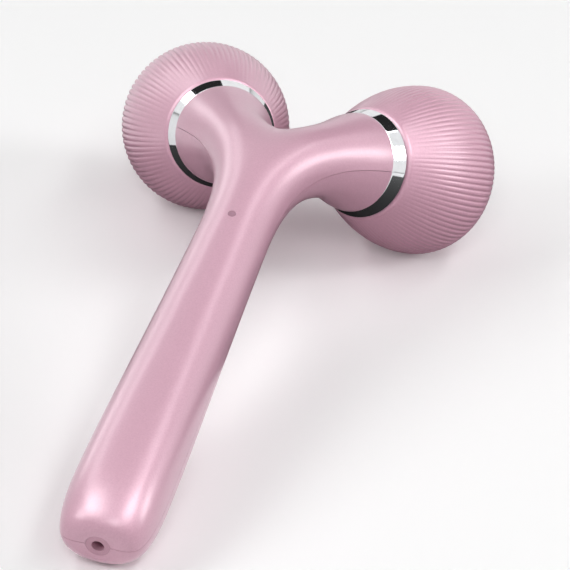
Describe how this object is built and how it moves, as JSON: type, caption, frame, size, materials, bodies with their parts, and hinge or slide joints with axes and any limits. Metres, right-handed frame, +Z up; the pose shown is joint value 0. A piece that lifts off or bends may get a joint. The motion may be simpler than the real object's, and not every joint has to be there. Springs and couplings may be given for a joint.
{
  "type": "sonic facial roller",
  "caption": "Hand-held facial massage roller: a slim pink handle forks into arms with chrome collars, each carrying a ribbed bulb roller that spins freely, with a vibration motor inside.",
  "frame": {"origin": "bottom centre of the bounding box, with the roller lying on its two rollers and the butt of its handle, front face up", "axes": "+Y from the handle's butt towards the rollers, +Z up, +X to the right seen from the butt"},
  "size_m": [0.0784, 0.1594, 0.0389],
  "materials": {
    "pearl_pink": "satin pearl lacquer",
    "roller_pink": "satin, fine ribs",
    "bright_chrome": "mirror",
    "light_pipe": "translucent",
    "black_plastic": "moulded",
    "bearing_plastic": "moulded acetal",
    "board_laminate": "solder mask",
    "steel": "turned",
    "heavy_metal": "sintered",
    "cell_sleeve": "shrink sleeve",
    "seal_rubber": "moulded silicone"
  },
  "bodies": {
    "handle": {"front_shell": "pearl_pink", "rear_shell": "pearl_pink", "light_pipe": "light_pipe", "tact_switch": "black_plastic", "main_board": "board_laminate", "control_chip": "black_plastic", "status_led": "light_pipe", "board_screws": "steel", "battery_cell": "cell_sleeve", "battery_tray": "black_plastic", "motor_can": "steel", "motor_sleeve": "seal_rubber", "charging_jack": "black_plastic", "jack_seal": "seal_rubber", "left_collar": "bright_chrome", "left_axle_carrier": "black_plastic", "left_carrier_seal": "seal_rubber", "left_axle": "steel", "left_thrust_washer": "bearing_plastic", "left_retaining_clip": "steel", "right_collar": "bright_chrome", "right_axle_carrier": "black_plastic", "right_carrier_seal": "seal_rubber", "right_axle": "steel", "right_thrust_washer": "bearing_plastic", "right_retaining_clip": "steel"},
    "left_roller": {"left_roller_shell": "roller_pink", "left_roller_hub": "black_plastic", "left_inner_bush": "bearing_plastic", "left_outer_bush": "bearing_plastic", "left_roller_cap": "roller_pink"},
    "right_roller": {"right_roller_shell": "roller_pink", "right_roller_hub": "black_plastic", "right_inner_bush": "bearing_plastic", "right_outer_bush": "bearing_plastic", "right_roller_cap": "roller_pink"},
    "power_button": {"power_button": "pearl_pink", "switch_plunger": "black_plastic"},
    "motor_rotor": {"motor_shaft": "steel", "eccentric_weight": "heavy_metal"}
  },
  "joints": [
    {"name": "left_roller_spin", "type": "hinge", "parent": "handle", "child": "left_roller", "pos_m": [-0.0136, 0.04696, 0.0265], "axis": [-0.3929, 0.808, -0.439], "continuous": true},
    {"name": "right_roller_spin", "type": "hinge", "parent": "handle", "child": "right_roller", "pos_m": [0.0136, 0.04696, 0.0265], "axis": [0.3929, 0.808, -0.439], "continuous": true},
    {"name": "motor_weight_spin", "type": "hinge", "parent": "handle", "child": "motor_rotor", "pos_m": [0, 0.01991, 0.02977], "axis": [0, 0.9714, 0.2376], "continuous": true},
    {"name": "power_button_press", "type": "slide", "parent": "handle", "child": "power_button", "axis": [0, -0.2376, 0.9714], "range_m": [0, 0.0004], "stiffness_N_per_m": 4000}
  ]
}
